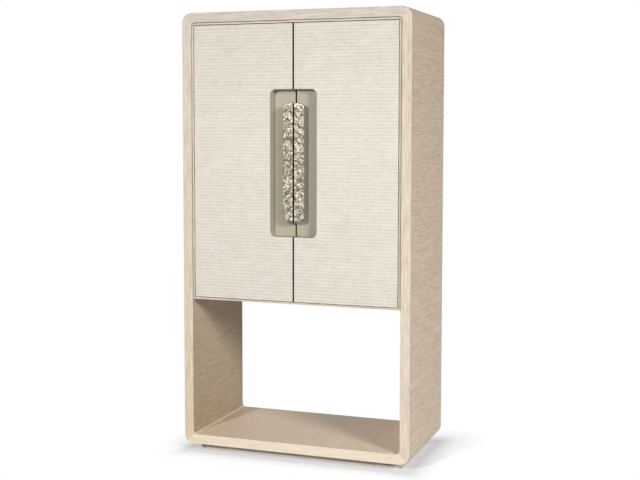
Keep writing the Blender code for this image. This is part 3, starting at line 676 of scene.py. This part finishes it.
# Three layers of facets, coarse to fine: size, share of the depth, and what is added to the seed.
FACET_LAYERS = ((0.017, 0.40, 0), (0.0095, 0.42, 9), (0.0048, 0.18, 17))
NEIGHBOURS = [(across, along) for across in (-1, 0, 1) for along in (-1, 0, 1)]
GRID_WIDTH = 0.08
GRID_LENGTH = 0.64
GRID_FOOT = 0.30
GRID_LEAN = 0.45
FACET_STRETCH = 1.25
FACET_TILT = 0.55
CREASE_WIDTH = 0.22
CREASE_DEPTH = 0.45
# Width of the smooth rim at the bar's upper and lower end, and how far the marks take to come in.
# The rim is bright in colour too; the wider upper rim is also a painted highlight.
POLISH_AND_HIGHLIGHT_ABOVE = 0.009
POLISH_BELOW = 0.003
POLISH_FADE = 0.003
FACE_STEPS = 34
SIDE_STEPS = 7
ARCH_STEPS = 14
ROW_STEP = 0.0014
POST_RADIUS = 0.007
POST_RISE = 0.18
POST_LAP = 0.002


def chisel_marks(x, z, seed):
    """Depth under the bar's face, 0 to 1: tilted facets on a jittered grid, with creases between."""
    depth = np.zeros_like(x)
    for size, weight, salt in FACET_LAYERS:
        rng = np.random.default_rng(seed + salt)
        columns, rows = int(GRID_WIDTH / size) + 3, int(GRID_LENGTH / size) + 3
        jitter = rng.uniform(0.1, 0.9, (columns, rows, 2))
        tilt = rng.normal(0.0, 1.0, (columns, rows, 2))
        level = rng.uniform(0.15, 0.85, (columns, rows))
        gx = x / size / FACET_STRETCH + 1.0
        gz = (z + GRID_FOOT + GRID_LEAN * x) / size + 1.0
        ci, cj = np.floor(gx).astype(int), np.floor(gz).astype(int)
        nearest = np.full(x.shape, 9.0)
        second = np.full(x.shape, 9.0)
        facet = np.zeros_like(x)
        for di, dj in NEIGHBOURS:
            a = np.clip(ci + di, 0, columns - 1)
            b = np.clip(cj + dj, 0, rows - 1)
            dx = gx - (a + jitter[a, b, 0])
            dz = (gz - (b + jitter[a, b, 1])) * 0.8
            away = np.hypot(dx, dz)
            plane = level[a, b] + FACET_TILT * (tilt[a, b, 0] * dx + tilt[a, b, 1] * dz)
            closer = away < nearest
            second = np.where(closer, nearest, np.minimum(second, away))
            facet = np.where(closer, plane, facet)
            nearest = np.where(closer, away, nearest)
        crease = np.clip(1.0 - (second - nearest) / CREASE_WIDTH, 0.0, 1.0)
        depth += weight * np.clip(facet + CREASE_DEPTH * crease, 0.0, 1.4)
    return np.clip(depth, 0.0, 1.0)


def bar_rows(inner, outer, straight):
    """The heights of the bar's rows from its middle, and how far out from the sawn edge each reaches."""
    turns = np.linspace(0.0, math.acos(inner / outer), ARCH_STEPS + 1)[1:]
    ends = [(straight + ARCH * math.sin(t), outer * math.cos(t)) for t in turns]
    levels = np.linspace(-straight, straight, 2 * round(straight / ROW_STEP) + 1)
    return [(-z, reach) for z, reach in reversed(ends)] + [(z, outer) for z in levels] + ends


def bar_profile(reach, inner, outer):
    """A row's points over the front, round the corner and down the side: x, y and the way out."""
    span = max(reach - inner, 0.0)
    bend = min(CORNER, span * 0.45)
    flat = span - bend
    draft = DRAFT * min(span / (outer - inner), 1.0)
    points = [(inner + flat * n / FACE_STEPS, 0.0, 0.0, -1.0) for n in range(FACE_STEPS + 1)]
    points += [(inner + flat + bend * math.sin(a), bend * (1 - math.cos(a)), math.sin(a), -math.cos(a))
               for a in np.linspace(0, math.pi / 2, 5)[1:]]
    points += [(inner + span - draft * n / SIDE_STEPS, bend + (THICK - bend) * n / SIDE_STEPS, 1.0, 0.0)
               for n in range(1, SIDE_STEPS + 1)]
    return points


def cast_handle(side, sign, seed):
    """Half of the bar: rows of one cross-section from arch to arch, with the marks cut into them."""
    low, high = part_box(f"{side}_handle")
    inner, outer = sorted((abs(low.x), abs(high.x)))
    middle = (high.z + low.z) / 2
    straight = (high.z - low.z) / 2 - ARCH
    rows = [(z, bar_profile(reach, inner, outer)) for z, reach in bar_rows(inner, outer, straight)]
    round_x = np.array([[x + y for x, y, out_x, out_y in profile] for z, profile in rows])
    row_z = np.array([[z] * len(profile) for z, profile in rows])
    depth = chisel_marks(round_x, row_z, seed)
    shape = bmesh.new()
    relief = shape.verts.layers.float.new("relief")
    grid = []
    for (z, profile), marks in zip(rows, depth):
        bright_rim = POLISH_AND_HIGHLIGHT_ABOVE if z > 0 else POLISH_BELOW
        line = []
        for (x, y, out_x, out_y), mark in zip(profile, marks):
            # Near the ends the marks fade and the relief rises, which brightens the colour: painted
            # highlight at the upper rim.
            rim = straight + ARCH * math.sqrt(max(1.0 - (x / outer) ** 2, 0.0)) - abs(z)
            mark *= 1.0 - 0.85 * min(max((bright_rim - rim) / POLISH_FADE, 0.0), 1.0)
            cut = CHISEL_DEPTH * mark * min(1.0, (THICK - y) / 0.004)
            cut_x = min(out_x * cut * 0.5, max(x - inner, 0.0))
            fall = max(RIM_BEND - rim, 0.0)
            sunk = max(RIM_BEND - math.sqrt(max(RIM_BEND ** 2 - fall ** 2, 0.0)) - y, 0.0)
            vertex = shape.verts.new((sign * (x - cut_x), low.y + y - out_y * cut + sunk, middle + z))
            vertex[relief] = 1.0 - mark
            line.append(vertex)
        back = shape.verts.new((sign * inner, low.y + THICK, middle + z))
        back[relief] = 0.5
        grid.append(line + [back])
    for first, second in zip(grid, grid[1:]):
        for n in range(len(first)):
            after = (n + 1) % len(first)
            face = shape.faces.new([first[n], first[after], second[after], second[n]])
            face.material_index = int(after == 0)
    bmesh.ops.remove_doubles(shape, verts=shape.verts, dist=WELD)
    bmesh.ops.contextual_create(shape, geom=[e for e in shape.edges if e.is_boundary])
    foot = low.y + THICK - POST_LAP
    for rise in (-POST_RISE, POST_RISE):
        post = bmesh.ops.create_cone(shape, cap_ends=True, segments=24, radius1=POST_RADIUS,
                                     radius2=POST_RADIUS, depth=high.y - foot)
        turn = Matrix.Rotation(math.pi / 2, 4, "X")
        lift = Matrix.Translation((sign * (inner + outer) / 2, (foot + high.y) / 2, middle + rise))
        bmesh.ops.transform(shape, matrix=lift @ turn, verts=post["verts"])
    for face in shape.faces:
        face.smooth = True
    bmesh.ops.recalc_face_normals(shape, faces=shape.faces)
    mesh = bpy.data.meshes.new(f"{side}_cast_handle")
    shape.to_mesh(mesh)
    shape.free()
    mesh.materials.append(PEWTER)
    mesh.materials.append(GAP_STAIN_AND_SHADE)
    mesh.set_sharp_from_angle(angle=math.radians(42))
    piece = placed(f"{side}_cast_handle", mesh)
    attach(piece, f"{side}_door")
    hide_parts(f"{side}_handle")


cast_handle("left", -1, 5)
cast_handle("right", 1, 6)


# Knife hinges of solid brass, one leaf let into the door's end and one into the bead, each held by
# three screws. Small magnetic catches, and steel plates on the doors, hold the doors shut.

LEAF_SCREW_RADIUS = 0.0026
LEAF_SCREWS_AT = (0.008, 0.024, 0.040)
PLATE_SCREW_RADIUS = 0.0024
PLATE_SCREWS_IN = 0.007
for side, outward in (("left", -1), ("right", 1)):
    for end, facing in (("top", 1.0), ("bottom", -1.0)):
        remade(f"{side}_{end}_hinge_door_leaf", brass, f"{side}_door")
        remade(f"{side}_{end}_hinge_frame_leaf", brass, "cabinet")
        leaf_low, leaf_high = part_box(f"{side}_{end}_hinge_door_leaf")
        start_x = leaf_low.x if side == "right" else leaf_high.x
        middle_y = (leaf_low.y + leaf_high.y) / 2
        face_z = leaf_high.z if end == "top" else leaf_low.z
        spots = [(start_x + outward * step, middle_y, face_z) for step in LEAF_SCREWS_AT]
        screws(f"{side}_{end}_leaf_screws", spots, (0.0, 0.0, facing), LEAF_SCREW_RADIUS,
               f"{side}_door", brass)
    dress(nylon, f"{side}_catch")
    dress(steel, f"{side}_strike_plate")
    plate_low, plate_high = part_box(f"{side}_strike_plate")
    middle_z = (plate_low.z + plate_high.z) / 2
    ends = (plate_low.x + PLATE_SCREWS_IN, plate_high.x - PLATE_SCREWS_IN)
    spots = [(x, plate_high.y, middle_z) for x in ends]
    screws(f"{side}_strike_screws", spots, (0.0, 1.0, 0.0), PLATE_SCREW_RADIUS,
           f"{side}_door", steel)


# The bar room has a mirror on the back panel, a toughened glass shelf on brass pegs, and four oak
# rails under the top that hold stemware by the foot.

def silvered_mirror(name):
    """Silvered glass, with the least trace of wiping left on it."""
    made, start, shader = start_finish(name, {"Metallic": 1.0})
    place = object_place(start)
    wiped = place.noise((3.0, 3.0, 9.0), 3.0)
    feed(shader, "Base Color", wiped.blend((0.84, 0.86, 0.86), (0.88, 0.90, 0.895)))
    feed(shader, "Roughness", wiped * 0.03 + 0.015)
    return made


GLASS_CUT_FROM = 0.4674


def polished_glass(name):
    """Clear glass, greener at its cut ends, where the light comes through its length."""
    made, start, shader = start_finish(name, {"Transmission Weight": 1.0, "IOR": 1.5})
    place = object_place(start)
    cut_edge = abs(place.part("X")) > GLASS_CUT_FROM
    feed(shader, "Base Color", cut_edge.blend((0.93, 0.97, 0.955), (0.55, 0.78, 0.70)))
    feed(shader, "Roughness", cut_edge * 0.12 + 0.02)
    return made


def shelf_pegs(shelf):
    """The four turned brass pegs that carry one shelf."""
    for end in ("front", "back"):
        for side in ("left", "right"):
            remade(f"{shelf}_peg_{end}_{side}", brass, "cabinet")


dress(silvered_mirror("silvered_mirror"), "mirror_panel")
dress(polished_glass("polished_glass"), "glass_shelf")
dress(limed_oak("inside_oak_rail", "Y", OAK_INSIDE), *(f"stemware_rail_{n}" for n in range(1, 5)))
shelf_pegs("glass_shelf")


# The lower room is split by a partition: two boards halved over each other hold wine on the left,
# and a timber shelf lies on pegs on the right.

shelf_pegs("timber_shelf")
dress(inside_level, "timber_shelf")
dress(limed_oak("inside_oak_divider", "Y", OAK_INSIDE), "wine_divider_rising", "wine_divider_falling")


# The studio: a white floor that keeps a soft shadow, cast by the lamps and also painted round the
# cabinet's foot, one crisp lamp from nearly in front, one broad lamp from the front right, a weak one
# low behind on the left, and a little light from all round.
# The camera stands in front, to the right, at eye height.

def seen_rays(start):
    """1 for rays from the camera, and for those that mirrors and glass send on."""
    paths = start.tree.nodes.new("ShaderNodeLightPath").outputs
    camera_ray, glossy, passed = (Wire(start.tree, paths[f"Is {kind} Ray"])
                                  for kind in ("Camera", "Glossy", "Transmission"))
    return start.math("MAXIMUM", camera_ray, start.math("MAXIMUM", glossy, passed))


# The cabinet's half width and half depth, and how the seen floor brightens with the distance from it.
# Its glow is weaker near the cabinet, a painted shadow round the foot.
FOOT = (0.53, 0.275)
LEFT_FADE = 1.5
GLOW_NEAR = 0.18
GLOW_GAIN = 0.27
GLOW_REACH = 0.11
WHITE_FROM = -0.01
WHITE_AT = 0.24


def white_floor(name):
    """A pale floor. What the camera sees of it glows less near the cabinet, a painted shadow round
    its foot, and goes to plain white a step away from the cabinet.
    """
    made, start, shader = start_finish(name, {"Roughness": 0.8})
    seen = seen_rays(start)
    feed(shader, "Base Color", seen.blend((0.50, 0.50, 0.50), (0.80, 0.82, 0.86)))
    place = object_place(start)
    right = start.math("MAXIMUM", place.part("X") - FOOT[0], 0.0)
    left = start.math("MAXIMUM", place.part("X") * -1.0 - FOOT[0], 0.0) * LEFT_FADE
    beyond_x = right + left
    beyond_y = start.math("MAXIMUM", abs(place.part("Y")) - FOOT[1], 0.0)
    away = start.math("SQRT", beyond_x * beyond_x + beyond_y * beyond_y)
    # Painted shadow: the seen floor glows less near the cabinet.
    glow = seen * (away.spread(0.0, GLOW_REACH) * GLOW_GAIN + GLOW_NEAR)
    fill = start.node("ShaderNodeEmission", None, {"Color": (1.0, 1.0, 1.0, 1.0), "Strength": glow})
    near = start.node("ShaderNodeAddShader", None, {0: Wire(start.tree, shader.outputs[0]), 1: fill})
    white = start.node("ShaderNodeEmission", None, {"Color": (1.0, 1.0, 1.0, 1.0)})
    far = seen * away.spread(WHITE_FROM, WHITE_AT)
    both = start.node("ShaderNodeMixShader", None, {0: far, 1: near, 2: white})
    start.tree.links.new(both.socket, start.tree.nodes["Material Output"].inputs["Surface"])
    return made


HALF_FLOOR = 30
corners = [(x * HALF_FLOOR, y * HALF_FLOOR, 0) for x, y in ((-1, -1), (1, -1), (1, 1), (-1, 1))]
mesh = bpy.data.meshes.new("studio_floor")
mesh.from_pydata(corners, [], [(0, 1, 2, 3)])
mesh.materials.append(white_floor("studio_floor"))
floor = placed("studio_floor", mesh)

world = bpy.data.worlds.new("studio")
bpy.context.scene.world = world
world.use_nodes = True
seen = seen_rays(Wire(world.node_tree))
background = world.node_tree.nodes["Background"]
background.inputs["Color"].default_value = (1.0, 1.0, 1.0, 1.0)
AMBIENT = 0.06
feed(background, "Strength", seen * (1.0 - AMBIENT) + AMBIENT)

LAMP_AIM = Vector((0.0, -0.25, 1.15))
LAMP_DISTANCE = 8.0


def lamp(name, azimuth, elevation, size, level):
    """A round lamp turned to the cabinet. At level 1, white paint that faces it renders as white."""
    data = bpy.data.lights.new(name, "AREA")
    data.shape = "DISK"
    data.size = size
    data.energy = level * (math.pi * LAMP_DISTANCE) ** 2
    turn, rise = math.radians(azimuth), math.radians(elevation)
    away = Vector((math.sin(turn) * math.cos(rise), -math.cos(turn) * math.cos(rise), math.sin(rise)))
    made = placed(name, data)
    made.location = LAMP_AIM + away * LAMP_DISTANCE
    made.rotation_euler = away.to_track_quat("Z", "Y").to_euler()


lamp("crisp_lamp", -14.0, 16.0, 0.40, 0.59)
lamp("broad_lamp", 55.5, 17.0, 2.1, 0.72)
lamp("back_lamp", 218.0, -7.5, 0.2, 0.40)

CAMERA_PLACE = (1.83826, -4.99516, 1.50324)
CAMERA_TURN = 0.34838
CAMERA_DIP = 0.0733
CAMERA_ROLL = 0.00144
camera_data = bpy.data.cameras.new("camera")
camera_data.sensor_width = 36.0
camera_data.lens = 65.23
camera_data.shift_y = -0.05
camera = placed("camera", camera_data)
camera.location = CAMERA_PLACE
aimed = Matrix.Rotation(CAMERA_TURN, 3, "Z") @ Matrix.Rotation(math.pi / 2 - CAMERA_DIP, 3, "X")
camera.rotation_euler = (aimed @ Matrix.Rotation(CAMERA_ROLL, 3, "Z")).to_euler()
bpy.context.scene.camera = camera
bpy.context.scene.view_settings.view_transform = "Standard"
